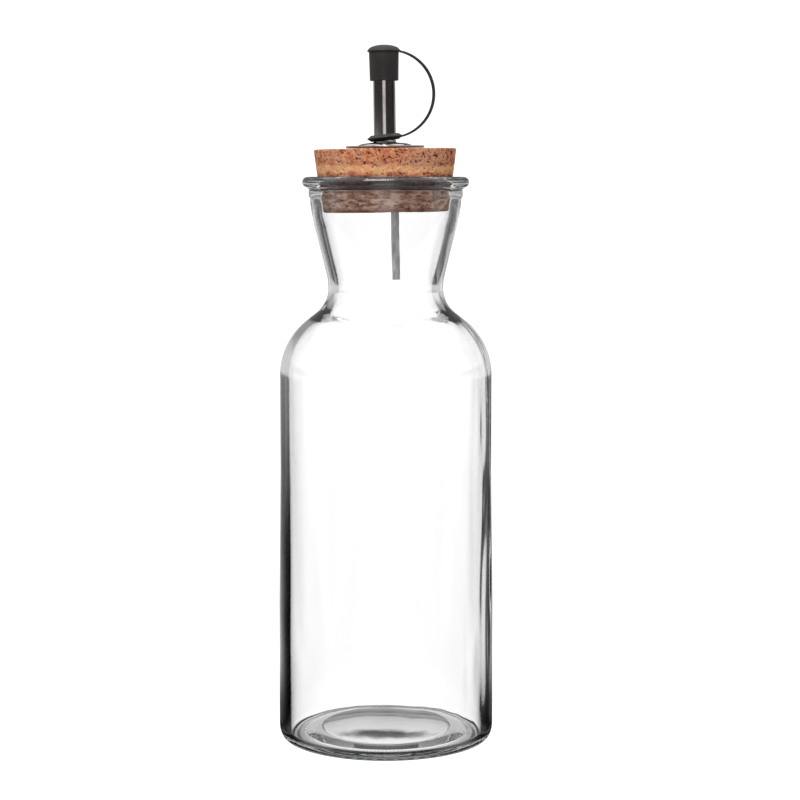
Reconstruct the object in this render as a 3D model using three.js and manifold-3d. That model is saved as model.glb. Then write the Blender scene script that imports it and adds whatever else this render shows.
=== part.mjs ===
// A tall clear glass oil bottle with a waisted neck, a tapered cork, a metal pour tube and a tethered cap.
// Millimetres, +Z up. The origin is the centre of the ring that the bottle stands on.
import * as THREE from 'three';
import { mergeVertices } from 'three/addons/utils/BufferGeometryUtils.js';
import Module from 'manifold-3d';

const wasm = await Module();
wasm.setup();

// Bottle, outside: the body narrows a little, then shoulder, waist and flared neck follow in arcs
const baseRadius = 37.7;
const shoulderRadius = 37.0;
const taperFrom = 48;
const taperTo = 96;
const shoulderHeight = 128.5;
const shoulderArc = 24;
const waistArc = 11.3;
const waistRadius = 20.0;
const waistHeight = 159;
const flareArc = 18;
const flareLean = 14;
const flareTop = 180;
const neckArc = 62;
const neckLean = 5;
const collarRadius = 26.75;
const collarBottom = 190.1;
const collarTop = 192.8;
const collarEdge = 0.4;
const lipRadius = 28.95;
const lipBead = 1.9;
const lipTop = 197.3;
const lipInnerRound = 1.5;
const bottleSides = 48;

// Bottle, inside: the wall is thickest at the foot and thinnest at the shoulder. The floor is lowest
// in a groove along the wall, where it slopes by floorTilt, and rises to the middle.
const footWall = 3.8;
const shoulderWall = 2.0;
const neckWall = 3.6;
const floorLow = 2.3;
const floorCorner = 1.8;
const floorTilt = 15;

// Foot: a flat ring to stand on, a low band inside it, and a dome pushed up in the middle
const heelWidth = 2.7;
const heelHeight = 4.8;
const standInner = 31;
const bandOuter = 30.4;
const bandInner = 28.6;
const bandHeight = 0.35;
const puntOuter = 28;
const puntHeight = 0.9;
const domeEdge = 22.2;
const domeHeight = 1.3;
const domeCrown = 2.4;

// The stopper leans a little to the left in the mouth, about a point on the bottle's axis
const stopperLean = 0.7;
const leanHeight = 190;
const fitGap = 0.35;

// Cork
const corkTop = 206.9;
const corkBottom = 185.3;
const corkRadius = 24.7;
const corkSlope = 0.1263;
const corkEdge = 0.6;
const corkSides = 56;

// Pour tube with its domed plate, one piece
const tubeRadius = 3.83;
const tubeBore = 3.3;
const tubeTop = 238.4;
const tubeBottom = 185.6;
const tubeEdge = 0.2;
const plateGap = 0.3;
const plateRadius = 13.6;
const plateThickness = 0.7;
const plateEdge = 0.2;
const plateDomeRadius = 9.3;
const plateDomeRise = 1.1;
const metalSides = 40;

// Vent tube that hangs under the cork, beside the pour tube
const ventRadius = 1.42;
const ventBore = 0.85;
const ventTop = 197;
const ventBottom = 161.8;
const ventLean = 0.55;
const ventX = 3.15;
const ventY = 5.9;
const ventSides = 20;

// Cap over the tube
const capBottom = 230.2;
const capCeiling = 240.4;
const capTop = 242.5;
const capLowRadius = 4.95;
const capHighRadius = 5.15;
const capEdge = 0.25;
const brimRadius = 5.65;
const brimHeight = 240.35;
const brimThickness = 0.6;
const capSides = 40;

// Strap from the cap's brim to the ring round the tube
const strapCentreX = 2.15;
const strapCentreZ = 225.66;
const strapRadius = 14.9;
const strapThin = 0.75;
const strapThick = 1.05;
const strapWidth = 2.6;
const strapStart = 80;
const strapEnd = -77.5;
const strapSteps = 30;
const ringHeight = 210.8;
const ringBore = 4.3;
const ringRadius = 6.15;
const ringThickness = 2.1;
const ringRim = 0.4;
const ringTilt = 5.6;

const degrees = Math.PI / 180;

function point(radius, height) {
  return new THREE.Vector2(radius, height);
}

// Points of an arc or ellipse in the plane of (radius, height), with angles in degrees
function arc(centreR, centreZ, radiusR, radiusZ, from, to, steps) {
  const points = [];
  for (let i = 0; i <= steps; i += 1) {
    const angle = (from + ((to - from) * i) / steps) * degrees;
    points.push(point(centreR + radiusR * Math.cos(angle), centreZ + radiusZ * Math.sin(angle)));
  }
  return points;
}

// Only positions stay, with shared vertices merged and the flat triangles at a pole dropped
function weld(geometry) {
  const bare = geometry.clone();
  bare.deleteAttribute('normal');
  bare.deleteAttribute('uv');
  const merged = mergeVertices(bare, 1e-4);
  const kept = [];
  for (let i = 0; i < merged.index.count; i += 3) {
    const [a, b, c] = [0, 1, 2].map((corner) => merged.index.getX(i + corner));
    if (a !== b && b !== c && c !== a) kept.push(a, b, c);
  }
  merged.setIndex(kept);
  return merged;
}

// A profile of (radius, height) points turned round the Z axis
function turned(points, sides) {
  const geometry = new THREE.LatheGeometry(points, sides);
  geometry.rotateX(Math.PI / 2);
  return weld(geometry);
}

// A closed section turned round the Z axis, which leaves a hole along it
function turnedRing(points, sides) {
  return turned([...points, points[0].clone()], sides);
}

function solid(geometry) {
  const welded = weld(geometry);
  return new wasm.Manifold(new wasm.Mesh({
    numProp: 3,
    vertProperties: new Float32Array(welded.attributes.position.array),
    triVerts: new Uint32Array(welded.index.array),
  }));
}

function geometryOf(manifold) {
  const mesh = manifold.getMesh();
  const geometry = new THREE.BufferGeometry();
  geometry.setAttribute('position', new THREE.BufferAttribute(new Float32Array(mesh.vertProperties), 3));
  geometry.setIndex(new THREE.BufferAttribute(new Uint32Array(mesh.triVerts), 1));
  return geometry;
}

function namedMesh(name, geometry, material) {
  const mesh = new THREE.Mesh(geometry, material);
  mesh.name = name;
  return mesh;
}

// Materials
function clearGlass() {
  return new THREE.MeshStandardMaterial({
    color: 0xdfe6e4, roughness: 0.03, metalness: 0, transparent: true, opacity: 0.35,
  });
}

function pressedCork() {
  return new THREE.MeshStandardMaterial({ color: 0xb9804c, roughness: 0.9, metalness: 0 });
}

function darkChrome() {
  return new THREE.MeshStandardMaterial({ color: 0x6e6966, roughness: 0.18, metalness: 1 });
}

function blackRubber() {
  return new THREE.MeshStandardMaterial({ color: 0x1b1b1c, roughness: 0.5, metalness: 0 });
}

function cloudyPlastic() {
  return new THREE.MeshStandardMaterial({ color: 0x9a9ea4, roughness: 0.6, metalness: 0 });
}

// Shoulder, waist and the start of the flare: one arc of the given radius for each
function sideArcs(shoulder, waist, flare) {
  const shoulderCentre = point(shoulderRadius - shoulderArc, shoulderHeight);
  const flareCentre = point(waistRadius + flareArc, waistHeight);
  const waistCentre = point(flareCentre.x - flare + waist, waistHeight);
  const between = waistCentre.clone().sub(shoulderCentre);
  const turn = between.angle() - Math.acos(Math.min(1, (shoulder + waist) / between.length()));
  const shoulderTurn = turn / degrees;
  return [
    ...arc(shoulderCentre.x, shoulderHeight, shoulder, shoulder, 0, shoulderTurn, 8),
    ...arc(waistCentre.x, waistHeight, waist, waist, 180 + shoulderTurn, 180, 5),
    ...arc(flareCentre.x, waistHeight, flare, flare, 180, 180 - flareLean, 2).slice(1),
  ];
}

// The inner waist arc that runs smoothly out of the inner shoulder arc
function innerWaistArc() {
  const shoulder = shoulderArc - shoulderWall;
  const across = waistRadius - neckWall - (shoulderRadius - shoulderArc);
  const up = waistHeight - shoulderHeight;
  return (across * across + up * up - shoulder * shoulder) / (2 * (shoulder - across));
}

// Where the straight flare ends, moved into the glass by inset
function flareEnd(inset) {
  const lean = flareLean * degrees;
  const startRadius = waistRadius + flareArc * (1 - Math.cos(lean));
  const startHeight = waistHeight + flareArc * Math.sin(lean);
  const radius = startRadius + (flareTop - startHeight) * Math.tan(lean);
  return point(radius - inset * Math.cos(lean), flareTop + inset * Math.sin(lean));
}

function corkRadiusAt(height) {
  return corkRadius - (corkTop - height) * corkSlope;
}

function bottleFoot() {
  const dome = [0, 0.3, 0.55, 0.8, 1].map((share) => (
    point(domeEdge * share, domeHeight + domeCrown * (1 - share * share))
  ));
  const heelCentre = baseRadius - heelWidth;
  return [
    ...dome,
    point(domeEdge, puntHeight),
    point(puntOuter, puntHeight),
    point(bandInner, bandHeight),
    point(bandOuter, bandHeight),
    point(standInner, 0),
    ...arc(heelCentre, heelHeight, heelWidth, heelHeight, -90, 0, 5),
  ];
}

function bottleOutside() {
  const top = flareEnd(0);
  const lean = flareLean * degrees;
  const neckCentre = point(top.x - neckArc * Math.cos(lean), top.y + neckArc * Math.sin(lean));
  return [
    point(baseRadius, taperFrom),
    point(shoulderRadius, taperTo),
    ...sideArcs(shoulderArc, waistArc, flareArc),
    ...arc(neckCentre.x, neckCentre.y, neckArc, neckArc, -flareLean, -neckLean, 3),
    point(collarRadius, collarBottom),
    point(collarRadius, collarTop),
    point(collarRadius - collarEdge, collarTop + collarEdge),
  ];
}

function bottleLip() {
  const beadCentre = lipRadius - lipBead;
  const mouth = corkRadiusAt(lipTop) + fitGap;
  return [
    ...arc(beadCentre, lipTop - lipBead, lipBead, lipBead, -75, 90, 7),
    ...arc(mouth + lipInnerRound, lipTop - lipInnerRound, lipInnerRound, lipInnerRound, 90, 170, 3),
  ];
}

function bottleInside() {
  const seatBottom = corkBottom - 1.2;
  const cornerCentre = point(baseRadius - footWall - floorCorner, floorLow + floorCorner);
  const corner = arc(cornerCentre.x, cornerCentre.y, floorCorner, floorCorner, 0, -90 - floorTilt, 6);
  const edge = corner[corner.length - 1];
  const crown = (edge.x * Math.tan(floorTilt * degrees)) / 2;
  const floor = [0.8, 0.6, 0.4, 0.2, 0].map((share) => (
    point(edge.x * share, edge.y + crown * (1 - share * share))
  ));
  return [
    point(corkRadiusAt(seatBottom) + fitGap, seatBottom),
    flareEnd(neckWall),
    ...sideArcs(shoulderArc - shoulderWall, innerWaistArc(), flareArc + neckWall).reverse(),
    ...corner,
    ...floor,
  ];
}

function glassBottle() {
  const profile = [...bottleFoot(), ...bottleOutside(), ...bottleLip(), ...bottleInside()];
  return namedMesh('glass_bottle', turned(profile, bottleSides), clearGlass());
}

function corkStopper() {
  const hole = tubeRadius + fitGap;
  const low = corkRadiusAt(corkBottom);
  const plug = turnedRing([
    point(hole, corkBottom),
    point(low - corkEdge, corkBottom),
    point(low, corkBottom + corkEdge),
    point(corkRadius, corkTop - corkEdge),
    point(corkRadius - corkEdge, corkTop),
    point(hole, corkTop),
  ], corkSides);
  const ventHole = new THREE.CylinderGeometry(
    ventRadius + fitGap, ventRadius + fitGap, 2 * (ventTop + fitGap - corkBottom), ventSides,
  );
  ventHole.rotateX(Math.PI / 2);
  ventHole.translate(ventX, ventY, corkBottom);
  const cut = solid(plug).subtract(solid(ventHole));
  return namedMesh('cork_stopper', geometryOf(cut), pressedCork());
}

function pourerSpout() {
  const plateBottom = corkTop + plateGap;
  const plateTop = plateBottom + plateThickness;
  const section = [
    point(tubeBore, tubeBottom),
    point(tubeRadius, tubeBottom),
    point(tubeRadius, plateBottom),
    point(plateRadius - plateEdge, plateBottom),
    point(plateRadius, plateBottom + plateEdge),
    point(plateRadius, plateTop - plateEdge),
    point(plateRadius - plateEdge, plateTop),
    ...arc(tubeRadius, plateTop, plateDomeRadius - tubeRadius, plateDomeRise, 0, 90, 5),
    point(tubeRadius, tubeTop - tubeEdge),
    point(tubeRadius - tubeEdge, tubeTop),
    point(tubeBore, tubeTop),
  ];
  return namedMesh('pourer_spout', turnedRing(section, metalSides), darkChrome());
}

function ventTube() {
  const section = [
    point(ventBore, ventBottom),
    point(ventRadius, ventBottom),
    point(ventRadius, ventTop),
    point(ventBore, ventTop),
  ];
  const geometry = turnedRing(section, ventSides);
  geometry.translate(0, 0, -corkBottom);
  geometry.rotateY(-ventLean * degrees);
  geometry.translate(ventX, ventY, corkBottom);
  return namedMesh('vent_tube', geometry, cloudyPlastic());
}

function capBody() {
  const hole = tubeRadius + fitGap;
  const brimBottom = brimHeight - brimThickness / 2;
  const domeBottom = brimHeight + brimThickness;
  return turned([
    point(0, capCeiling),
    point(hole, capCeiling),
    point(hole, capBottom),
    point(capLowRadius - capEdge, capBottom),
    point(capLowRadius, capBottom + capEdge),
    point(capHighRadius, brimBottom - brimThickness),
    point(brimRadius, brimBottom),
    point(brimRadius, brimBottom + brimThickness),
    ...arc(0, domeBottom, capHighRadius, capTop - domeBottom, 0, 90, 6),
  ], capSides);
}

// The band between two arcs, a little thicker towards the ring, pushed out to the strap's width
function strap() {
  const outer = [];
  const inner = [];
  for (let i = 0; i <= strapSteps; i += 1) {
    const share = i / strapSteps;
    const angle = (strapStart + (strapEnd - strapStart) * share) * degrees;
    const half = (strapThin + (strapThick - strapThin) * share) / 2;
    const along = point(Math.cos(angle), Math.sin(angle));
    outer.push(along.clone().multiplyScalar(strapRadius + half));
    inner.unshift(along.clone().multiplyScalar(strapRadius - half));
  }
  const band = new THREE.ExtrudeGeometry(new THREE.Shape([...outer, ...inner]), {
    depth: strapWidth, bevelEnabled: false,
  });
  band.rotateX(Math.PI / 2);
  band.translate(strapCentreX, strapWidth / 2, strapCentreZ);
  return band;
}

function tubeRing() {
  const half = ringThickness / 2;
  const ring = turnedRing([
    point(ringBore, -half),
    point(ringRadius, -ringRim / 2),
    point(ringRadius, ringRim / 2),
    point(ringBore, half),
  ], capSides);
  ring.rotateY(-ringTilt * degrees);
  ring.translate(0, 0, ringHeight);
  return ring;
}

function capWithTether() {
  const moulded = solid(capBody()).add(solid(strap())).add(solid(tubeRing()));
  return namedMesh('cap_tether', geometryOf(moulded), blackRubber());
}

function stopperGroup() {
  const pieces = new THREE.Group();
  pieces.add(corkStopper(), pourerSpout(), ventTube(), capWithTether());
  pieces.position.z = -leanHeight;
  const leaning = new THREE.Group();
  leaning.add(pieces);
  leaning.rotation.y = -stopperLean * degrees;
  leaning.position.z = leanHeight;
  return leaning;
}

const oilBottle = new THREE.Group();
oilBottle.add(glassBottle(), stopperGroup());

export default oilBottle;
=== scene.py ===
import math
import bpy
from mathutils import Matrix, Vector, noise


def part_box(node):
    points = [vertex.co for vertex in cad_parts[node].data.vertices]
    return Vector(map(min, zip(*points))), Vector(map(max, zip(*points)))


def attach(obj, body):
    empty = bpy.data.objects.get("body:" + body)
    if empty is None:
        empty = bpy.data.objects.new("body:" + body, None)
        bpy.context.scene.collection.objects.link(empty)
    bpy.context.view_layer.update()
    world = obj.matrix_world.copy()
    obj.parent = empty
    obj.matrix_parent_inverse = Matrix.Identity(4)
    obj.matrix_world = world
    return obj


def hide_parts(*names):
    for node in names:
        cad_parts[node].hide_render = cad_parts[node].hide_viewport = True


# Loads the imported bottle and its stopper, then dresses every solid with its finished piece
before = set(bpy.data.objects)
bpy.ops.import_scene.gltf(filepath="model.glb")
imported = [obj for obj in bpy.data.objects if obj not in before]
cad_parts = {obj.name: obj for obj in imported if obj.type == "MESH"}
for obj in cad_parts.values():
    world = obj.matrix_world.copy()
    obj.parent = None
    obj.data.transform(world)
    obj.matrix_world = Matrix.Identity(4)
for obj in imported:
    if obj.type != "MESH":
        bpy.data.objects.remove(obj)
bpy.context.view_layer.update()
mm = 0.001
fullTurn = 2 * math.pi
mergeWithin = 0.003  # millimetres


# Outlines are lists of (radius, height) in millimetres, drawn in the XZ plane and turned about Z

def arcPoints(centre, radii, start, end, steps):
    points = []
    for i in range(steps + 1):
        angle = math.radians(start + (end - start) * i / steps)
        points.append((centre[0] + radii[0] * math.cos(angle), centre[1] + radii[1] * math.sin(angle)))
    return points


def linePoints(start, end, steps):
    shares = [i / steps for i in range(steps + 1)]
    return [(start[0] + (end[0] - start[0]) * s, start[1] + (end[1] - start[1]) * s) for s in shares]


def onlySelect(piece):
    bpy.ops.object.select_all(action="DESELECT")
    piece.select_set(True)
    bpy.context.view_layer.objects.active = piece


def startPiece(name, place):
    # a tiny plane merged to one point, which the outline grows from
    bpy.ops.object.select_all(action="DESELECT")
    bpy.ops.mesh.primitive_plane_add(size=mm, location=place)
    piece = bpy.context.object
    piece.name = name
    piece.data.name = name
    bpy.ops.object.transform_apply(location=True, rotation=True, scale=True)
    bpy.ops.object.mode_set(mode="EDIT")
    bpy.ops.mesh.select_mode(type="VERT")
    bpy.ops.mesh.select_all(action="SELECT")
    bpy.ops.mesh.merge(type="CENTER")
    return piece


def turnOutline(name, outline, steps):
    radius, height = outline[0]
    piece = startPiece(name, (radius * mm, 0, height * mm))
    for (r0, z0), (r1, z1) in zip(outline, outline[1:]):
        move = ((r1 - r0) * mm, 0, (z1 - z0) * mm)
        bpy.ops.mesh.extrude_region_move(TRANSFORM_OT_translate={"value": move})
    bpy.ops.mesh.select_all(action="SELECT")
    bpy.ops.mesh.spin(steps=steps, angle=fullTurn, center=(0, 0, 0), axis=(0, 0, 1))
    bpy.ops.mesh.select_all(action="SELECT")
    bpy.ops.mesh.remove_doubles(threshold=mergeWithin * mm)
    bpy.ops.mesh.normals_make_consistent(inside=False)
    bpy.ops.object.mode_set(mode="OBJECT")
    bpy.ops.object.shade_smooth()
    return piece


def roundEdges(piece, width, segments, angle=30):
    onlySelect(piece)
    bpy.ops.object.modifier_add(type="BEVEL")
    bevel = piece.modifiers[-1]
    bevel.limit_method = "ANGLE"
    bevel.angle_limit = math.radians(angle)
    bevel.width = width * mm
    bevel.segments = segments
    bpy.ops.object.modifier_apply(modifier=bevel.name)
    bpy.ops.object.shade_smooth_by_angle(angle=math.radians(angle))


def combineWith(piece, other, operation):
    onlySelect(piece)
    bpy.ops.object.modifier_add(type="BOOLEAN")
    boolean = piece.modifiers[-1]
    boolean.operation = operation
    boolean.object = other
    bpy.ops.object.modifier_apply(modifier=boolean.name)
    bpy.data.objects.remove(other)


def turnAbout(piece, axis, angle, centre):
    onlySelect(piece)
    bpy.ops.object.mode_set(mode="EDIT")
    bpy.ops.mesh.select_all(action="SELECT")
    bpy.ops.transform.rotate(value=math.radians(angle), orient_axis=axis, center_override=centre)
    bpy.ops.object.mode_set(mode="OBJECT")


# Stopper group: everything in the mouth leans a little to the left about one point on the axis
stopper = {"lean": 0.7, "leanHeight": 190, "fitGap": 0.35}


def leanWithStopper(piece):
    turnAbout(piece, "Y", stopper["lean"], (0, 0, stopper["leanHeight"] * mm))


def finishPiece(piece, node, material):
    piece.data.materials.clear()
    piece.data.materials.append(material)
    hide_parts(node)
    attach(piece, "root")
    print("piece", piece.name, "faces", len(piece.data.polygons))


# Sizes in millimetres and angles in degrees. The bottle's foot radius and top come from the frame.
glassLow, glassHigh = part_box("glass_bottle")
bottle = {
    "baseRadius": glassHigh.x / mm,
    "lipTop": glassHigh.z / mm,
    "shoulderRadius": 37.0,
    "taperFrom": 48,
    "taperTo": 96,
    "shoulderHeight": 128.5,
    "shoulderArc": 24,
    "waistArc": 11.3,
    "waistRadius": 20.0,
    "waistHeight": 159,
    "flareArc": 18,
    "flareLean": 14,
    "flareTop": 180,
    "neckArc": 62,
    "neckLean": 5,
    "collarRadius": 26.75,
    "collarBottom": 190.1,
    "collarTop": 192.8,
    "collarRound": 0.5,
    "lipRadius": 28.95,
    "lipBead": 1.9,
    "lipInnerRound": 1.5,
    "footWall": 3.8,
    "shoulderWall": 2.0,
    "neckWall": 3.6,
    "seatBelow": 1.2,
    "floorLow": 2.3,
    "floorCorner": 1.8,
    "floorTilt": 15,
    "heelWidth": 2.7,
    "heelHeight": 4.8,
    "standInner": 31,
    "edgeRound": 0.2,
    "bandOuter": 30.4,
    "bandInner": 28.6,
    "bandHeight": 0.35,
    "bandRound": 0.3,
    "puntOuter": 28,
    "puntHeight": 0.9,
    "domeEdge": 22.2,
    "domeHeight": 1.3,
    "domeCrown": 2.4,
    "knurlInset": 0.12,
    "knurlDepth": 0.25,
    "knurlSlack": 0.05,
    "turnSteps": 288,
    "wallRows": 40,
    "waveSize": 16,
    "waveDepth": 0.2,
    "rippleSize": 4,
    "rippleDepth": 0.13,
    "waveStretch": 0.14,
    "waveFade": 12,
    "waveTop": 183,
}
cork = {
    "top": 206.9,
    "bottom": 185.3,
    "radius": 24.7,
    "slope": 0.1263,
    "edge": 0.5,
    "turnSteps": 340,
    "stepSize": 0.45,
    "sideRows": 46,
    "holeRows": 12,
    "holeSides": 32,
    "holeMargin": 0.3,
    "grain": 1.45,
    "grainFlat": 1.3,
    "warpSeed": 7,
    "warpSize": 2.3,
    "warpDepth": 0.8,
    "gapWidth": 0.17,
    "gapDepth": 0.2,
    "gapRun": 1.6,
    "gapShare": (3, 0.3),
    "pitShare": 0.12,
    "pitRadius": 0.42,
    "pitDepth": 0.55,
    "pitGain": 1.6,
    "poreScale": 1.3,
    "poreFlat": 1.7,
    "poreFrom": 0.33,
    "poreGain": 2.6,
    "unevenSize": 7,
    "unevenDepth": 0.12,
    "unevenLift": 0.6,
}
spout = {
    "radius": 3.83,
    "bore": 3.3,
    "top": 238.4,
    "bottom": 185.6,
    "plateGap": 0.3,
    "plateRadius": 13.6,
    "plateThickness": 0.7,
    "domeRadius": 9.3,
    "domeRise": 1.1,
    "domeApron": 0.6,
    "tubeFoot": (0.25, 1),
    "edge": 0.18,
    "turnSteps": 144,
}
vent = {
    "radius": 1.42,
    "bore": 0.85,
    "top": 197,
    "bottom": 161.8,
    "lean": 0.55,
    "x": 3.15,
    "y": 5.9,
    "rows": 60,
    "ragged": (0.25, 0.3),
    "raggedEnd": 0.1,
    "raggedScale": 2.1,
    "swell": 0.035,
    "swellSize": 3.0,
    "turnSteps": 48,
}
cap = {
    "bottom": 230.2,
    "ceiling": 240.4,
    "top": 242.5,
    "lowRadius": 4.95,
    "highRadius": 5.15,
    "brimRadius": 5.65,
    "brimHeight": 240.35,
    "brimThickness": 0.5,
    "brimFillet": 0.5,
    "brimRound": 0.2,
    "underBrim": 0.6,
    "footBand": 0.3,
    "domeInset": 0.15,
    "domeSink": 0.1,
    "edge": 0.12,
    "turnSteps": 128,
}
tether = {
    "centreX": 2.15,
    "centreZ": 225.66,
    "radius": 14.9,
    "thin": 0.62,
    "thick": 1.08,
    "width": 2.6,
    "edge": 0.2,
    "fullness": 0.8,
    "start": 80,
    "end": -77.5,
    "steps": 72,
    "ringHeight": 210.8,
    "ringBore": 4.3,
    "ringRadius": 6.15,
    "ringThickness": 2.1,
    "ringRim": 0.4,
    "ringLand": 0.5,
    "ringTilt": 5.6,
    "ringSteps": 96,
}


def corkRadiusAt(height):
    return cork["radius"] - (cork["top"] - height) * cork["slope"]


# Glass bottle

def sideArcs(shoulder, waist, flare):
    # one arc of the given radius each for the shoulder, the waist and the start of the flare
    b = bottle
    shoulderCentre = Vector((b["shoulderRadius"] - b["shoulderArc"], b["shoulderHeight"]))
    flareCentre = Vector((b["waistRadius"] + b["flareArc"], b["waistHeight"]))
    waistCentre = Vector((flareCentre.x - flare + waist, b["waistHeight"]))
    between = waistCentre - shoulderCentre
    bearing = math.atan2(between.y, between.x)
    turn = math.degrees(bearing - math.acos(min(1, (shoulder + waist) / between.length)))
    return (
        arcPoints(shoulderCentre, (shoulder, shoulder), 0, turn, 22)
        + arcPoints(waistCentre, (waist, waist), 180 + turn, 180, 14)
        + arcPoints(flareCentre, (flare, flare), 180, 180 - b["flareLean"], 6)[1:]
    )


def innerWaistArc():
    # the waist arc that runs smoothly out of the inner shoulder arc
    b = bottle
    shoulder = b["shoulderArc"] - b["shoulderWall"]
    across = b["waistRadius"] - b["neckWall"] - (b["shoulderRadius"] - b["shoulderArc"])
    up = b["waistHeight"] - b["shoulderHeight"]
    return (across * across + up * up - shoulder * shoulder) / (2 * (shoulder - across))


def flareEnd(inset):
    b = bottle
    lean = math.radians(b["flareLean"])
    startRadius = b["waistRadius"] + b["flareArc"] * (1 - math.cos(lean))
    startHeight = b["waistHeight"] + b["flareArc"] * math.sin(lean)
    radius = startRadius + (b["flareTop"] - startHeight) * math.tan(lean)
    return (radius - inset * math.cos(lean), b["flareTop"] + inset * math.sin(lean))


def bottleFoot():
    b = bottle
    dome = []
    for share in (0, 0.15, 0.3, 0.45, 0.6, 0.75, 0.9, 0.97, 1):
        dome.append((b["domeEdge"] * share, b["domeHeight"] + b["domeCrown"] * (1 - share * share)))
    soft = b["edgeRound"]
    edge = arcPoints((b["domeEdge"] + soft, b["puntHeight"] + soft), (soft, soft), 180, 270, 3)
    bend = b["bandRound"]
    bandIn = arcPoints((b["puntOuter"], b["puntHeight"] - bend), (bend, bend), 90, 0, 4)
    band = [(b["bandInner"], b["bandHeight"]), (b["bandOuter"], b["bandHeight"])]
    stand = [(b["standInner"], 0), (b["standInner"] + soft, 0)]
    heelCentre = (b["baseRadius"] - b["heelWidth"], b["heelHeight"])
    heel = arcPoints(heelCentre, (b["heelWidth"], b["heelHeight"]), -90, 0, 16)
    return dome + edge + bandIn + band + stand + heel


def bottleOutside():
    b = bottle
    lean = math.radians(b["flareLean"])
    topRadius, topHeight = flareEnd(0)
    neckCentre = (topRadius - b["neckArc"] * math.cos(lean), topHeight + b["neckArc"] * math.sin(lean))
    soft = b["collarRound"]
    collarLow = (b["collarRadius"] - soft, b["collarBottom"] + soft)
    collarHigh = (b["collarRadius"] - soft, b["collarTop"] - soft)
    bodyLow = (b["baseRadius"], b["heelHeight"])
    taperLow = (b["baseRadius"], b["taperFrom"])
    taperHigh = (b["shoulderRadius"], b["taperTo"])
    bodyHigh = (b["shoulderRadius"], b["shoulderHeight"])
    body = linePoints(bodyLow, taperLow, 8)[1:]
    taper = linePoints(taperLow, taperHigh, 10)[1:]
    upper = linePoints(taperHigh, bodyHigh, 6)[1:-1]
    return (
        body + taper + upper + sideArcs(b["shoulderArc"], b["waistArc"], b["flareArc"])
        + arcPoints(neckCentre, (b["neckArc"], b["neckArc"]), -b["flareLean"], -b["neckLean"], 6)
        + arcPoints(collarLow, (soft, soft), -70, 0, 4)
        + arcPoints(collarHigh, (soft, soft), 0, 70, 4)
    )


def bottleLip():
    b = bottle
    bead = b["lipBead"]
    inner = b["lipInnerRound"]
    mouth = corkRadiusAt(b["lipTop"]) + stopper["fitGap"]
    return (
        arcPoints((b["lipRadius"] - bead, b["lipTop"] - bead), (bead, bead), -75, 90, 18)
        + arcPoints((mouth + inner, b["lipTop"] - inner), (inner, inner), 90, 170, 8)
    )


def bottleInside():
    b = bottle
    seatBottom = cork["bottom"] - b["seatBelow"]
    top = (b["shoulderRadius"] - b["shoulderWall"], b["shoulderHeight"])
    corner = b["floorCorner"]
    cornerCentre = (b["baseRadius"] - b["footWall"] - corner, b["floorLow"] + corner)
    cornerTop = (cornerCentre[0] + corner, cornerCentre[1])
    cornerArc = arcPoints(cornerCentre, (corner, corner), 0, -90 - b["floorTilt"], 16)
    edgeRadius, edgeHeight = cornerArc[-1]
    crown = edgeRadius * math.tan(math.radians(b["floorTilt"])) / 2
    arcs = sideArcs(b["shoulderArc"] - b["shoulderWall"], innerWaistArc(), b["flareArc"] + b["neckWall"])
    flare = linePoints(flareEnd(b["neckWall"]), arcs[-1], 6)[:-1]
    floor = []
    for share in (0.96, 0.9, 0.82, 0.74, 0.66, 0.58, 0.5, 0.4, 0.3, 0.2, 0.1, 0):
        floor.append((edgeRadius * share, edgeHeight + crown * (1 - share * share)))
    return (
        [(corkRadiusAt(seatBottom) + stopper["fitGap"], seatBottom)] + flare + arcs[::-1]
        + linePoints(top, cornerTop, b["wallRows"])[1:-1] + cornerArc + floor
    )


def waveInnerWall(piece):
    # blown glass is never quite even inside: low waves run up the wall, with finer ones to the right
    b = bottle
    low = b["floorLow"] + 2 * b["floorCorner"]
    normals = [Vector(n.vector) for n in piece.data.vertex_normals]
    for vertex, normal in zip(piece.data.vertices, normals):
        place = vertex.co / mm
        reach = math.hypot(place.x, place.y)
        if place.z < low or place.z > b["waveTop"] or normal.x * place.x + normal.y * place.y > 0:
            continue
        wave = noise.noise(Vector((place.x, place.y, place.z * b["waveStretch"])) / b["waveSize"])
        ripple = noise.noise(Vector((place.x, place.y, place.z * b["waveStretch"])) / b["rippleSize"])
        fade = min(1, (place.z - low) / b["waveFade"], (b["waveTop"] - place.z) / b["waveFade"])
        side = 0.5 + 0.5 * place.x / reach
        push = (wave * b["waveDepth"] + ripple * b["rippleDepth"] * side) * fade
        vertex.co.x += place.x / reach * push * mm
        vertex.co.y += place.y / reach * push * mm


def selectFaces(piece, wanted):
    # leaves the piece in edit mode with only the wanted faces selected
    onlySelect(piece)
    bpy.ops.object.mode_set(mode="EDIT")
    bpy.ops.mesh.select_mode(type="FACE")
    bpy.ops.mesh.select_all(action="DESELECT")
    bpy.ops.object.mode_set(mode="OBJECT")
    for polygon in piece.data.polygons:
        polygon.select = wanted(polygon)
    bpy.ops.object.mode_set(mode="EDIT")


def knurlFoot(piece):
    b = bottle

    def inEveryOtherStep(polygon):
        x, y, z = polygon.center / mm
        reach = math.hypot(x, y)
        step = int((math.atan2(y, x) + math.pi) / fullTurn * b["turnSteps"])
        inRing = b["bandInner"] < reach < b["bandOuter"] and z < b["bandHeight"] + b["knurlSlack"]
        return inRing and step % 2 == 0

    selectFaces(piece, inEveryOtherStep)
    bpy.ops.mesh.inset(thickness=b["knurlInset"] * mm, depth=-b["knurlDepth"] * mm, use_individual=True)
    bpy.ops.object.mode_set(mode="OBJECT")


def makeBottle():
    outline = bottleFoot() + bottleOutside() + bottleLip() + bottleInside()
    piece = turnOutline("glassBottle", outline, bottle["turnSteps"])
    knurlFoot(piece)
    waveInnerWall(piece)
    return piece


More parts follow.
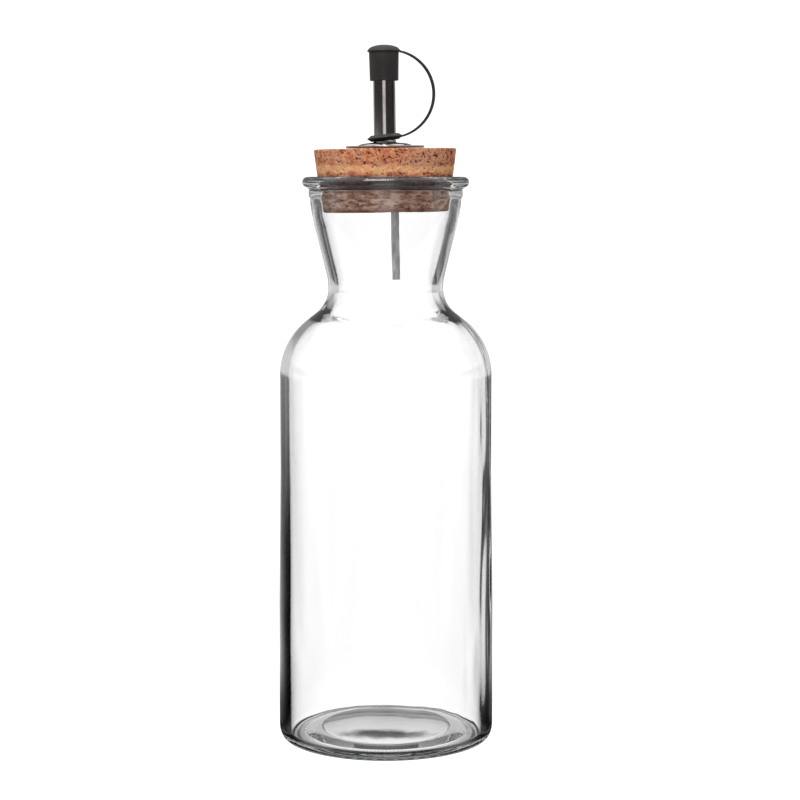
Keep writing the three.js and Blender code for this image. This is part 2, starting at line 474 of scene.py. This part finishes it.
# Cork: a turned plug, then every grain, gap and torn pit is pushed into its surface

def makeCork():
    hole = spout["radius"] + stopper["fitGap"]
    low = corkRadiusAt(cork["bottom"])
    edge = cork["edge"]
    size = cork["stepSize"]
    across = round((low - edge - hole) / size)
    sideLow = (low, cork["bottom"] + edge)
    sideHigh = (cork["radius"], cork["top"] - edge)
    outline = (
        linePoints((hole, cork["bottom"]), (low - edge, cork["bottom"]), across)
        + arcPoints((low - edge, cork["bottom"] + edge), (edge, edge), -60, 0, 2)
        + linePoints(sideLow, sideHigh, cork["sideRows"])[1:]
        + arcPoints((cork["radius"] - edge, cork["top"] - edge), (edge, edge), 30, 90, 2)
        + linePoints((cork["radius"] - edge, cork["top"]), (hole, cork["top"]), across)[1:]
        + linePoints((hole, cork["top"]), (hole, cork["bottom"]), cork["holeRows"])[1:]
    )
    piece = turnOutline("corkStopper", outline, cork["turnSteps"])
    onlySelect(piece)
    bpy.ops.mesh.primitive_cylinder_add(
        vertices=cork["holeSides"], radius=(vent["radius"] + stopper["fitGap"]) * mm,
        depth=2 * (vent["top"] + stopper["fitGap"] - cork["bottom"]) * mm,
        location=(vent["x"] * mm, vent["y"] * mm, cork["bottom"] * mm),
    )
    combineWith(piece, bpy.context.object, "DIFFERENCE")
    grainCork(piece)
    leanWithStopper(piece)
    return piece


def grainCork(piece):
    # seams between grains, torn pits and small pores sink in, and the colours use the same pattern
    c = cork
    mesh = piece.data
    tone = mesh.attributes.new("grainTone", "FLOAT", "POINT")
    gap = mesh.attributes.new("grainGap", "FLOAT", "POINT")
    wall = (spout["radius"] + stopper["fitGap"] + c["holeMargin"]) * mm
    normals = [Vector(n.vector) for n in mesh.vertex_normals]
    noise.seed_set(c["warpSeed"])  # noise_vector takes its seed from the clock unless one is set
    for index, vertex in enumerate(mesh.vertices):
        place = vertex.co / mm
        spot = (place + noise.noise_vector(place / c["warpSize"]) * c["warpDepth"]) / c["grain"]
        spot.z *= c["grainFlat"]
        far, centres = noise.voronoi(spot)
        gain, lift = c["gapShare"]
        share = min(1, max(0, noise.noise(place / c["gapRun"] + Vector((5, 9, 2))) * gain + lift))
        seam = max(0, 1 - (far[1] - far[0]) / c["gapWidth"]) * share
        chance = (noise.cell(centres[0] * 9.7 + Vector((3, 5, 7))) + 1) / 2
        pit = 0
        if chance < c["pitShare"]:
            pit = max(0, 1 - far[0] / c["pitRadius"])
        poreSpot = Vector((place.x, place.y, place.z * c["poreFlat"])) * c["poreScale"]
        pore = max(0, noise.noise(poreSpot) - c["poreFrom"]) * c["poreGain"]
        uneven = noise.noise(place / c["unevenSize"]) + c["unevenLift"]
        tone.data[index].value = (noise.cell(centres[0] * 5.3) + 1) / 2
        gap.data[index].value = max(seam * 0.7, min(1, pit * 2), min(1, pore * 1.6))
        if math.hypot(vertex.co.x, vertex.co.y) < wall:
            continue
        depth = seam * c["gapDepth"] + max(pit * c["pitGain"], pore) * c["pitDepth"]
        depth += uneven * c["unevenDepth"]
        vertex.co -= normals[index] * depth * mm


# Pour tube with its domed plate

def makeSpout():
    s = spout
    plateBottom = cork["top"] + s["plateGap"]
    plateTop = plateBottom + s["plateThickness"]
    domeTop = plateTop + s["domeRise"]
    footLow, footHigh = s["tubeFoot"]
    domeRadii = (s["domeRadius"] - s["radius"], s["domeRise"])
    outline = (
        [(s["bore"], s["bottom"]), (s["radius"], s["bottom"]), (s["radius"], plateBottom)]
        + [(s["plateRadius"], plateBottom), (s["plateRadius"], plateTop)]
        + [(s["domeRadius"] + s["domeApron"], plateTop)]
        + arcPoints((s["radius"], plateTop), domeRadii, 8, 84, 14)
        + [(s["radius"], domeTop + footLow)]
        + linePoints((s["radius"], domeTop + footHigh), (s["radius"], s["top"]), 10)
        + [(s["bore"], s["top"]), (s["bore"], s["bottom"])]
    )
    piece = turnOutline("pourerSpout", outline, s["turnSteps"])
    roundEdges(piece, s["edge"], 3, 40)
    leanWithStopper(piece)
    return piece


# Vent tube under the cork

def makeVent():
    v = vent
    outline = (
        [(v["bore"], v["bottom"])]
        + linePoints((v["radius"], v["bottom"]), (v["radius"], v["top"]), v["rows"])
        + linePoints((v["bore"], v["top"]), (v["bore"], v["bottom"]), v["rows"])
    )
    piece = turnOutline("ventTube", outline, v["turnSteps"])
    lift, depth = v["ragged"]
    for vertex in piece.data.vertices:
        place = vertex.co / mm
        if place.z < v["bottom"] + v["raggedEnd"]:  # the lower end is cut by hand and a bit ragged
            vertex.co.z += (lift + depth * noise.noise(place * v["raggedScale"])) * mm
        swell = 1 + v["swell"] * noise.noise(Vector((0, 0, place.z / v["swellSize"])))
        vertex.co.x *= swell
        vertex.co.y *= swell
    turnAbout(piece, "Y", v["lean"], (0, 0, cork["bottom"] * mm))
    piece.location = (v["x"] * mm, v["y"] * mm, 0)
    onlySelect(piece)
    bpy.ops.object.transform_apply(location=True, rotation=True, scale=True)
    leanWithStopper(piece)
    return piece


# Cap, strap and ring: moulded in one

def makeCap():
    c = cap
    hole = spout["radius"] + stopper["fitGap"]
    brimHalf = c["brimThickness"] / 2
    brimLow = c["brimHeight"] - brimHalf
    fillet = c["brimFillet"]
    domeLow = c["brimHeight"] + brimHalf - c["domeSink"]
    domeRadii = (c["brimRadius"] - c["domeInset"], c["top"] - domeLow)
    sideLow = (c["lowRadius"], c["bottom"] + c["footBand"])
    rimCentre = (c["brimRadius"] - c["brimRound"] / 2, c["brimHeight"])
    outline = (
        [(0, c["ceiling"]), (hole, c["ceiling"]), (hole, c["bottom"]), (c["lowRadius"], c["bottom"])]
        + linePoints(sideLow, (c["highRadius"], brimLow - c["underBrim"]), 10)
        + arcPoints((c["brimRadius"], brimLow - fillet), (fillet, fillet), 180, 100, 6)
        + arcPoints(rimCentre, (c["brimRound"], brimHalf), -80, 60, 6)
        + arcPoints((0, domeLow), domeRadii, 12, 90, 20)
    )
    piece = turnOutline("tetheredCap", outline, c["turnSteps"])
    roundEdges(piece, c["edge"], 2, 40)
    return piece


def makeStrap():
    t = tether
    centre = (t["centreX"] * mm, 0, t["centreZ"] * mm)
    bpy.ops.object.select_all(action="DESELECT")
    bpy.ops.mesh.primitive_plane_add(size=1, location=(0, 0, 0))
    piece = bpy.context.object
    piece.name = "strap"
    piece.scale = (t["thick"] * mm, t["width"] * mm, 1)
    piece.location = (centre[0] + t["radius"] * mm, 0, centre[2])
    bpy.ops.object.transform_apply(location=True, rotation=True, scale=True)
    turnAbout(piece, "Y", t["start"], centre)
    bpy.ops.object.mode_set(mode="EDIT")
    bpy.ops.mesh.select_all(action="SELECT")
    sweep = math.radians(t["end"] - t["start"])
    bpy.ops.mesh.spin(steps=t["steps"], angle=sweep, center=centre, axis=(0, 1, 0))
    bpy.ops.mesh.select_all(action="SELECT")
    bpy.ops.mesh.normals_make_consistent(inside=False)
    bpy.ops.object.mode_set(mode="OBJECT")
    for vertex in piece.data.vertices:  # thickest at the right, thinner where it joins cap and ring
        out = Vector((vertex.co.x - centre[0], 0, vertex.co.z - centre[2]))
        angle = math.degrees(math.atan2(out.z, out.x))
        share = (t["start"] - angle) / (t["start"] - t["end"])
        bulge = math.sin(math.pi * min(1, max(0, share))) ** t["fullness"]
        thickness = t["thin"] + (t["thick"] - t["thin"]) * bulge
        side = out.length - t["radius"] * mm
        wanted = t["radius"] * mm + side * thickness / t["thick"]
        vertex.co.x = centre[0] + out.x / out.length * wanted
        vertex.co.z = centre[2] + out.z / out.length * wanted
    roundEdges(piece, t["edge"], 3, 40)
    return piece


def makeRing():
    t = tether
    half = t["ringThickness"] / 2
    rim = t["ringRim"] / 2
    land = t["ringBore"] + t["ringLand"]
    outline = (
        [(t["ringBore"], -half), (land, -half)]
        + arcPoints((t["ringRadius"] - rim, 0), (rim, rim), -70, 70, 8)
        + [(land, half), (t["ringBore"], half), (t["ringBore"], -half)]
    )
    piece = turnOutline("ring", outline, t["ringSteps"])
    turnAbout(piece, "Y", t["ringTilt"], (0, 0, 0))
    piece.location = (0, 0, t["ringHeight"] * mm)
    onlySelect(piece)
    bpy.ops.object.transform_apply(location=True, rotation=True, scale=True)
    return piece


def makeTetheredCap():
    piece = makeCap()
    combineWith(piece, makeStrap(), "UNION")
    combineWith(piece, makeRing(), "UNION")
    onlySelect(piece)
    bpy.ops.object.shade_smooth_by_angle(angle=math.radians(35))
    leanWithStopper(piece)
    return piece


# Small helpers for building node trees

def newMaterial(name):
    material = bpy.data.materials.new(name)
    material.use_nodes = True
    return material, material.node_tree, material.node_tree.nodes["Principled BSDF"]


def feed(tree, socket, value):
    # links an output, or sets a plain value, where one number in a colour socket is a grey
    if isinstance(value, bpy.types.NodeSocket):
        tree.links.new(value, socket)
    elif socket.type == "RGBA" and isinstance(value, (int, float)):
        socket.default_value = (value, value, value, 1)
    else:
        socket.default_value = value


def feedAll(tree, node, values):
    for name, value in values.items():
        feed(tree, node.inputs[name], value)


def addMath(tree, operation, *values):
    node = tree.nodes.new("ShaderNodeMath")
    node.operation = operation
    for socket, value in zip(node.inputs, values):
        feed(tree, socket, value)
    return node.outputs[0]


def addMix(tree, factor, first, second):
    node = tree.nodes.new("ShaderNodeMix")
    node.data_type = "RGBA"
    for socket, value in zip((node.inputs[0], node.inputs[6], node.inputs[7]), (factor, first, second)):
        feed(tree, socket, value)
    return node.outputs[2]


def addRange(tree, value, span, to=(0, 1), smooth=True):
    node = tree.nodes.new("ShaderNodeMapRange")
    node.interpolation_type = "SMOOTHSTEP" if smooth else "LINEAR"
    feedAll(tree, node, {"Value": value, "From Min": span[0], "From Max": span[1],
                         "To Min": to[0], "To Max": to[1]})
    return node.outputs[0]


def addNoise(tree, coords, scale, detail, roughness, stretch):
    mapping = tree.nodes.new("ShaderNodeMapping")
    feedAll(tree, mapping, {"Vector": coords, "Scale": stretch})
    node = tree.nodes.new("ShaderNodeTexNoise")
    feedAll(tree, node, {"Vector": mapping.outputs[0], "Scale": scale, "Detail": detail,
                         "Roughness": roughness})
    return node.outputs[0]


def addBump(tree, height, strength, distance):
    node = tree.nodes.new("ShaderNodeBump")
    feedAll(tree, node, {"Height": height, "Strength": strength, "Distance": distance})
    return node.outputs[0]


def addAttribute(tree, name):
    node = tree.nodes.new("ShaderNodeAttribute")
    node.attribute_name = name
    return node.outputs["Fac"]


def objectCoords(tree):
    return tree.nodes.new("ShaderNodeTexCoord").outputs["Object"]


def splitAxes(tree, coords):
    node = tree.nodes.new("ShaderNodeSeparateXYZ")
    tree.links.new(coords, node.inputs[0])
    return node.outputs


# Effects that more than one finish uses, as node groups

noiseInputs = {
    "Coordinates": "NodeSocketVector",
    "Stretch": "NodeSocketVector",
    "Scale": "NodeSocketFloat",
    "Detail": "NodeSocketFloat",
    "Roughness": "NodeSocketFloat",
}


def newGroup(name, inputs, outputs):
    group = bpy.data.node_groups.new(name, "ShaderNodeTree")
    for label, kind in inputs.items():
        group.interface.new_socket(name=label, in_out="INPUT", socket_type=kind)
    for label, kind in outputs.items():
        group.interface.new_socket(name=label, in_out="OUTPUT", socket_type=kind)
    start = group.nodes.new("NodeGroupInput").outputs
    end = group.nodes.new("NodeGroupOutput").inputs
    spread = addNoise(group, start["Coordinates"], start["Scale"], start["Detail"], start["Roughness"],
                      start["Stretch"])
    return group, start, end, spread


def makeMottleGroup():
    # noise as a soft mask that changes the first colour into the second
    inputs = {"Low": "NodeSocketFloat", "High": "NodeSocketFloat", "First": "NodeSocketColor",
              "Second": "NodeSocketColor"}
    outputs = {"Color": "NodeSocketColor", "Noise": "NodeSocketFloat"}
    group, start, end, spread = newGroup("mottle", {**noiseInputs, **inputs}, outputs)
    mask = addRange(group, spread, (start["Low"], start["High"]))
    feed(group, end["Color"], addMix(group, mask, start["First"], start["Second"]))
    feed(group, end["Noise"], spread)


def makeReliefGroup():
    # noise as a shallow relief
    inputs = {"Strength": "NodeSocketFloat", "Distance": "NodeSocketFloat"}
    outputs = {"Normal": "NodeSocketVector"}
    group, start, end, spread = newGroup("relief", {**noiseInputs, **inputs}, outputs)
    feed(group, end["Normal"], addBump(group, spread, start["Strength"], start["Distance"]))


def addGroup(tree, name, coords, look, values):
    node = tree.nodes.new("ShaderNodeGroup")
    node.node_tree = bpy.data.node_groups[name]
    scale, detail, roughness, stretch = look
    feedAll(tree, node, {"Coordinates": coords, "Scale": scale, "Detail": detail,
                         "Roughness": roughness, "Stretch": stretch, **values})
    return node.outputs


def addMottle(tree, coords, look, span, first, second):
    values = {"Low": span[0], "High": span[1], "First": first, "Second": second}
    return addGroup(tree, "mottle", coords, look, values)


def addRelief(tree, coords, look, strength, distance):
    return addGroup(tree, "relief", coords, look, {"Strength": strength, "Distance": distance})["Normal"]


makeMottleGroup()
makeReliefGroup()


# Finishes. A noise is (scale, detail, roughness, stretch), a bump is (strength, distance in metres), and
# a name that ends in Span holds the ends of a soft mask.

glassFinish = {
    "ior": 1.5,
    "tint": (0.72, 0.745, 0.735, 1),
    "tintDensity": 18,
    "ripple": (90, 2, 0.5, (1, 1, 0.2)),
    "bump": (0.02, 0.0005),
}


def makeGlassMaterial():
    g = glassFinish
    material, tree, surface = newMaterial("clearGlass")
    relief = addRelief(tree, objectCoords(tree), g["ripple"], *g["bump"])
    feedAll(tree, surface, {"Base Color": 1, "Roughness": 0, "IOR": g["ior"], "Transmission Weight": 1,
                            "Normal": relief})
    tint = tree.nodes.new("ShaderNodeVolumeAbsorption")
    feedAll(tree, tint, {"Color": g["tint"], "Density": g["tintDensity"]})
    tree.links.new(tint.outputs[0], tree.nodes["Material Output"].inputs["Volume"])
    return material


# The bands' heights are in millimetres and include the wander, which is half its value on average
corkFinish = {
    "fleck": (1500, 4, 0.65, (1, 1, 1)),
    "fleckSpan": (0.52, 0.66),
    "fleckColour": (0.18, 0.05, 0.03, 1),
    "blotch": (420, 3, 0.55, (1, 1, 1)),
    "blotchSpan": (0.44, 0.64),
    "blotchColour": (0.68, 0.287, 0.13, 1),
    "patch": (130, 3, 0.5, (1, 1, 1)),
    "patchSpan": (0.48, 0.66),
    "patchColour": (0.53, 0.25, 0.146, 1),
    "grainColours": ((0.34, 0.103, 0.054, 1), (0.56, 0.209, 0.099, 1)),
    "crackSpan": (0.4, 0.6),
    "crackColours": ((0.04, 0.012, 0.008, 1), (0.12, 0.038, 0.022, 1)),
    "gapSpan": (0.10, 0.7),
    # streaks whose pale colour lightens the cork in the neck as painted light
    "streak": (480, 4, 0.7, (0.6, 0.6, 1.6)),
    "streakSpan": (0.34, 0.64),
    "streakAndLightColours": ((0.17, 0.065, 0.04, 1), (1, 0.66, 0.5, 1)),
    "wander": 2.4,
    # painted light: a pale band on the cork just above the glass
    "rimLightBand": ((199.4, 200.2), (201.4, 203), 0.5, (0.90, 0.50, 0.24, 1)),
    # streaks and painted light on the cork where it sits in the neck
    "seatLightBand": ((186, 188.5), (192.5, 194), 0.85),
    # painted shade: a dark band on the cork behind the glass lip
    "lipShadeBand": ((192.5, 194), (198, 199), 1, (0.045, 0.022, 0.016, 1)),
    "lowBand": ((170, 171), (186.6, 188.5), 0.5, (0.10, 0.035, 0.022, 1)),
    "roughness": 0.85,
    "shine": 0.3,
    "bump": (0.5, 0.0002),
}


def addBand(tree, level, base, rise, fall, share, colour):
    start = addRange(tree, level, rise, (0, share))
    end = addRange(tree, level, fall, (1, 0))
    return addMix(tree, addMath(tree, "MULTIPLY", start, end), base, colour)


def makeCorkMaterial():
    c = corkFinish
    material, tree, surface = newMaterial("pressedCork")
    coords = objectCoords(tree)
    gap = addAttribute(tree, "grainGap")
    base = addMix(tree, addAttribute(tree, "grainTone"), *c["grainColours"])
    blotch = addMottle(tree, coords, c["blotch"], c["blotchSpan"], base, c["blotchColour"])
    patch = addMottle(tree, coords, c["patch"], c["patchSpan"], blotch["Color"], c["patchColour"])
    fleck = addMottle(tree, coords, c["fleck"], c["fleckSpan"], patch["Color"], c["fleckColour"])
    crack = addMix(tree, addRange(tree, blotch["Noise"], c["crackSpan"]), *c["crackColours"])
    base = addMix(tree, addRange(tree, gap, c["gapSpan"]), fleck["Color"], crack)
    # painted light: a pale rim just above the glass and lighter streaks where it sits in the neck; painted
    # shade behind the lip; darker below
    streak = addMottle(tree, coords, c["streak"], c["streakSpan"], *c["streakAndLightColours"])
    height = addMath(tree, "DIVIDE", splitAxes(tree, coords)["Z"], mm)
    level = addMath(tree, "MULTIPLY_ADD", patch["Noise"], c["wander"], height)
    base = addBand(tree, level, base, *c["rimLightBand"])
    base = addBand(tree, level, base, *c["seatLightBand"], streak["Color"])
    base = addBand(tree, level, base, *c["lipShadeBand"])
    base = addBand(tree, level, base, *c["lowBand"])
    relief = addMath(tree, "SUBTRACT", fleck["Noise"], gap)
    feedAll(tree, surface, {"Base Color": base, "Roughness": c["roughness"],
                            "Specular IOR Level": c["shine"], "Normal": addBump(tree, relief, *c["bump"])})
    return material


spoutFinish = {
    "smear": (160, 4, 0.6, (1, 1, 1)),
    "smearSpan": (0.4, 0.65),
    "colours": ((0.36, 0.34, 0.33, 1), (0.25, 0.235, 0.225, 1)),
    "smearRoughness": 0.1,
    "roughness": 0.03,
    "scratch": (900, 2, 0.5, (1, 1, 0.05)),
    "bump": (0.05, 0.00005),
}


def makeSpoutMaterial():
    s = spoutFinish
    material, tree, surface = newMaterial("darkChrome")
    coords = objectCoords(tree)
    smear = addMottle(tree, coords, s["smear"], s["smearSpan"], *s["colours"])
    rough = addMath(tree, "MULTIPLY_ADD", smear["Noise"], s["smearRoughness"], s["roughness"])
    feedAll(tree, surface, {"Base Color": smear["Color"], "Metallic": 1, "Roughness": rough,
                            "Normal": addRelief(tree, coords, s["scratch"], *s["bump"])})
    return material


ventFinish = {
    "cloud": (420, 4, 0.6, (1, 1, 0.35)),
    "cloudSpan": (0.35, 0.68),
    "colours": ((0.48, 0.48, 0.50, 1), (0.98, 0.98, 1, 1)),
    "roughnessSpan": (0.3, 0.7),
    "roughness": (0.35, 0.6),
    "bump": (0.3, 0.0002),
}


def makeVentMaterial():
    v = ventFinish
    material, tree, surface = newMaterial("cloudyPlastic")
    cloud = addMottle(tree, objectCoords(tree), v["cloud"], v["cloudSpan"], *v["colours"])
    rough = addRange(tree, cloud["Noise"], v["roughnessSpan"], v["roughness"])
    feedAll(tree, surface, {"Base Color": cloud["Color"], "Roughness": rough,
                            "Normal": addBump(tree, cloud["Noise"], *v["bump"])})
    return material


rubberFinish = {
    "bloom": (120, 3, 0.5, (1, 1, 1)),
    "bloomSpan": (0.35, 0.75),
    "colours": ((0.016, 0.014, 0.014, 1), (0.030, 0.026, 0.025, 1)),
    "roughnessSpan": (0.3, 0.7),
    "roughness": (0.42, 0.55),
    "shine": 0.2,
    "grain": (2600, 3, 0.6, (1, 1, 1)),
    "bump": (0.15, 0.00005),
}


def makeRubberMaterial():
    r = rubberFinish
    material, tree, surface = newMaterial("blackRubber")
    coords = objectCoords(tree)
    bloom = addMottle(tree, coords, r["bloom"], r["bloomSpan"], *r["colours"])
    rough = addRange(tree, bloom["Noise"], r["roughnessSpan"], r["roughness"])
    feedAll(tree, surface, {"Base Color": bloom["Color"], "Roughness": rough,
                            "Specular IOR Level": r["shine"],
                            "Normal": addRelief(tree, coords, r["grain"], *r["bump"])})
    return material


# Studio, in metres: white wherever it is looked at, and through the glass too, but for the floor under
# the bottle, which carries a painted shadow. What the surfaces mirror is darker, with bright and dark
# bearings that draw the edges of the glass. Bearings are degrees anticlockwise from above, and a glow is a
# (bearing, light) list. Under the bottle it is a (radius in millimetres, light) list. A span holds the
# ends of a soft change.

studio = {
    "cameraPlace": (0.00496, -0.740, 0.1968),
    "cameraPitch": 5.96,
    "cameraLens": 95.63,
    "floorSize": 12,
    "floorGap": 0.0001,
    "white": 1.2,
    "fill": 0.62,
    "fillBelow": 0.5,
    "nearGlow": ((-76, 0.002), (-58, 0.002), (-44, 0.22), (-38, 0.12), (-30, 0.03), (-22, 0.03),
                 (-16, 0.26), (-9, 0.9), (7, 1.2), (12, 0.8), (16, 0.42), (20, 0.22), (24, 0.11),
                 (28, 0.045), (31, 0.012), (34, 0.002), (38, 0.001), (76, 0.001)),
    "asideSpan": (76, 88),
    "asideGlow": 0.5,
    "farGlow": ((-48, 0.35), (-41, 0.22), (-33, 0.1), (-26, 0.05), (-20, 0.06), (-13, 0.35), (-7, 0.9),
                (6, 1.1), (12, 0.75), (17, 0.45), (22, 0.26), (27, 0.13), (31, 0.08), (39, 0.06),
                (41, 0.35)),
    "farTurn": 90,
    "farSpan": (0.4, 0.9),
    "contactSpan": (0.05, 0.15),
    "contactGlow": 0.1,
    "horizonSpan": (1.2, 2),
    "horizonGlow": 0.62,
    "levelGlow": ((-90, 0.06), (-24, 0.06), (-18, 0.5), (-14, 1.5), (8, 1.5), (12, 0.5), (17, 0.06),
                  (90, 0.06)),
    "levelSpan": (0.002, 0.012),
    "backSpan": (0.3, 0.7),
    "backGlow": 0.6,
    "upperSpan": (0.07, 0.13),
    "upperGlow": 0.3,
    "sideSpan": (0.4, 0.8),
    "sideGlow": 0.9,
    "overheadSpan": (0.5, 0.75),
    "overheadGlow": 1.7,
    # painted shadow on the floor under the bottle, darkest in rings where the heel stands
    "underShadowFront": ((0, 0.95), (28.4, 0.95), (28.7, 0.6), (30.3, 0.6), (30.6, 0.02), (31.4, 0.02),
                   (31.8, 0.5), (33.6, 0.45), (34.5, 0.03), (38, 0.03), (41, 0.3),
                   (48, 0.35), (52, 1.2)),
    "underShadowBack": ((0, 0.95), (28.4, 0.95), (30, 0.9), (36, 1), (38, 1.2)),
    "underSpan": (-0.012, 0.012),
    # a ragged patch of painted shadow under the middle of the bottle
    "shadowPatchPlace": (0, -5.5),
    "shadowPatchSize": (17, 6.5),
    "shadowPatchNoise": (180, 3, 0.6, (1, 1, 1)),
    "patchSpan": (0.85, 1.75),
    "shadowPatchGlow": 0.03,
    "softboxWatts": 9.8,
    "softboxSize": (0.54, 0.61),
    "softboxPlace": (-0.16, -0.65, 0.94),
    "softboxAim": (0, 0, 0.2),
}


def addCamera():
    bpy.ops.object.camera_add(location=studio["cameraPlace"])
    camera = bpy.context.object
    camera.rotation_euler = (math.radians(90 - studio["cameraPitch"]), 0, 0)
    camera.data.lens = studio["cameraLens"]
    camera.data.sensor_width = 36
    camera.data.clip_start = 0.01
    camera.data.clip_end = 50
    bpy.context.scene.camera = camera


def addGlowRamp(tree, value, stops):
    first, last = stops[0][0], stops[-1][0]
    ramp = tree.nodes.new("ShaderNodeValToRGB")
    elements = ramp.color_ramp.elements
    while len(elements) < len(stops):
        elements.new(0.5)
    for element, (place, glow) in zip(elements, stops):
        element.position = (place - first) / (last - first)
        element.color = (glow, glow, glow, 1)
    tree.links.new(addRange(tree, value, (first, last), smooth=False), ramp.inputs[0])
    return ramp.outputs[0]


def addBearing(tree, x, y, low, high):
    # degrees from straight behind the bottle, brought between low and high by whole steps of the two
    around = addMath(tree, "SUBTRACT", addMath(tree, "DEGREES", addMath(tree, "ARCTAN2", y, x)), 90)
    return addMath(tree, "WRAP", around, high, low)


def addFarGlow(tree, x, y):
    # the same glow ahead, behind and at both sides
    first = studio["farGlow"][0][0]
    bearing = addBearing(tree, x, y, first, first + studio["farTurn"])
    return addGlowRamp(tree, bearing, studio["farGlow"])


def addSeen(tree, direct, mirrored, scattered):
    # white where it is looked at, and one value each for what is seen through, mirrored or scattered
    path = tree.nodes.new("ShaderNodeLightPath")
    inMirror = addMath(tree, "GREATER_THAN", path.outputs["Glossy Depth"], 0.5)
    inDiffuse = addMath(tree, "GREATER_THAN", path.outputs["Diffuse Depth"], 0.5)
    seen = addMix(tree, inDiffuse, addMix(tree, inMirror, direct, mirrored), scattered)
    return addMix(tree, path.outputs["Is Camera Ray"], seen, studio["white"])


def addWorld():
    s = studio
    world = bpy.data.worlds.new("studio")
    bpy.context.scene.world = world
    world.use_nodes = True
    world.cycles.sampling_method = "NONE"
    tree = world.node_tree
    x, y, z = splitAxes(tree, tree.nodes.new("ShaderNodeTexCoord").outputs["Generated"])
    low = addMath(tree, "MAXIMUM", addFarGlow(tree, x, y), s["horizonGlow"])
    level = addGlowRamp(tree, addBearing(tree, x, y, -90, 90), s["levelGlow"])
    level = addMix(tree, addRange(tree, y, s["backSpan"]), level, s["backGlow"])
    sideways = addRange(tree, addMath(tree, "ABSOLUTE", x), s["sideSpan"])
    upper = addMix(tree, sideways, s["upperGlow"], s["sideGlow"])
    glow = addMix(tree, addRange(tree, z, s["levelSpan"]), low, level)
    glow = addMix(tree, addRange(tree, z, s["upperSpan"]), glow, upper)
    glow = addMath(tree, "ADD", glow, addRange(tree, z, s["overheadSpan"], (0, s["overheadGlow"])))
    feed(tree, tree.nodes["Background"].inputs["Color"], addSeen(tree, s["white"], glow, s["fill"]))


def addFloorGlow(tree, x, y, reach):
    # near the bottle a mirrored ray lands further round than it points, by the bottle's own radius
    s = studio
    nearness = addMath(tree, "DIVIDE", bottle["shoulderRadius"] * mm,
                       addMath(tree, "MAXIMUM", reach, s["contactSpan"][0]))
    shift = addMath(tree, "DEGREES", addMath(tree, "ARCSINE", nearness))
    bearing = addBearing(tree, x, y, -90, 90)
    turn = addMath(tree, "ABSOLUTE", bearing)
    pointed = addMath(tree, "MULTIPLY", addMath(tree, "SUBTRACT", turn, shift),
                      addMath(tree, "SIGN", bearing))
    near = addGlowRamp(tree, pointed, s["nearGlow"])
    near = addMath(tree, "MAXIMUM", near, addRange(tree, turn, s["asideSpan"], (0, s["asideGlow"])))
    contact = addRange(tree, reach, s["contactSpan"], (s["contactGlow"], 1))
    near = addMath(tree, "MULTIPLY", near, contact)
    horizon = addRange(tree, reach, s["horizonSpan"], (0, s["horizonGlow"]))
    far = addMath(tree, "MAXIMUM", addFarGlow(tree, x, y), horizon)
    return addMix(tree, addRange(tree, reach, s["farSpan"]), near, far)


def addUnderShadow(tree, coords, x, y, reach):
    # painted shadow: under the bottle the table is darkest towards the front, with one ragged dark patch
    # near the middle
    s = studio
    radius = addMath(tree, "DIVIDE", reach, mm)
    front = addGlowRamp(tree, radius, s["underShadowFront"])
    back = addGlowRamp(tree, radius, s["underShadowBack"])
    under = addMix(tree, addRange(tree, y, s["underSpan"]), front, back)
    squares = []
    for value, middle, half in zip((x, y), s["shadowPatchPlace"], s["shadowPatchSize"]):
        offset = addMath(tree, "DIVIDE", addMath(tree, "SUBTRACT", value, middle * mm), half * mm)
        squares.append(addMath(tree, "MULTIPLY", offset, offset))
    spread = addMath(tree, "SQRT", addMath(tree, "ADD", *squares))
    ragged = addMath(tree, "ADD", spread, addNoise(tree, coords, *s["shadowPatchNoise"]))
    return addMix(tree, addRange(tree, ragged, s["patchSpan"], (1, 0)), under, s["shadowPatchGlow"])


def addFloor():
    s = studio
    bpy.ops.mesh.primitive_plane_add(size=s["floorSize"], location=(0, 0, -s["floorGap"]))
    floor = bpy.context.object
    floor.name = "floor"
    material, tree, surface = newMaterial("paleFloor")
    coords = objectCoords(tree)
    axes = splitAxes(tree, coords)
    x, y = axes["X"], axes["Y"]
    span = addMath(tree, "ADD", addMath(tree, "MULTIPLY", x, x), addMath(tree, "MULTIPLY", y, y))
    reach = addMath(tree, "SQRT", span)
    # the floor under the bottle carries a painted shadow
    under = addUnderShadow(tree, coords, x, y, reach)
    shade = addSeen(tree, under, addFloorGlow(tree, x, y, reach), s["fillBelow"])
    feedAll(tree, surface, {"Base Color": 0, "Roughness": 1, "Specular IOR Level": 0,
                            "Emission Color": shade, "Emission Strength": 1})
    floor.data.materials.append(material)


def addSoftbox():
    place = Vector(studio["softboxPlace"])
    bpy.ops.object.light_add(type="AREA", location=place)
    light = bpy.context.object
    light.name = "softbox"
    light.data.shape = "RECTANGLE"
    light.data.size, light.data.size_y = studio["softboxSize"]
    light.data.energy = studio["softboxWatts"]
    light.rotation_euler = (Vector(studio["softboxAim"]) - place).to_track_quat("-Z", "Y").to_euler()
    light.visible_camera = False
    light.visible_transmission = False


def setCycles():
    scene = bpy.context.scene
    scene.view_settings.view_transform = "Standard"
    scene.cycles.max_bounces = 32
    scene.cycles.glossy_bounces = 16
    scene.cycles.transmission_bounces = 24
    scene.cycles.diffuse_bounces = 4
    scene.cycles.caustics_reflective = False
    scene.cycles.caustics_refractive = True


addCamera()
addWorld()
addFloor()
addSoftbox()
setCycles()
print("studio ready")

finishPiece(makeBottle(), "glass_bottle", makeGlassMaterial())
finishPiece(makeCork(), "cork_stopper", makeCorkMaterial())
finishPiece(makeSpout(), "pourer_spout", makeSpoutMaterial())
finishPiece(makeVent(), "vent_tube", makeVentMaterial())
finishPiece(makeTetheredCap(), "cap_tether", makeRubberMaterial())
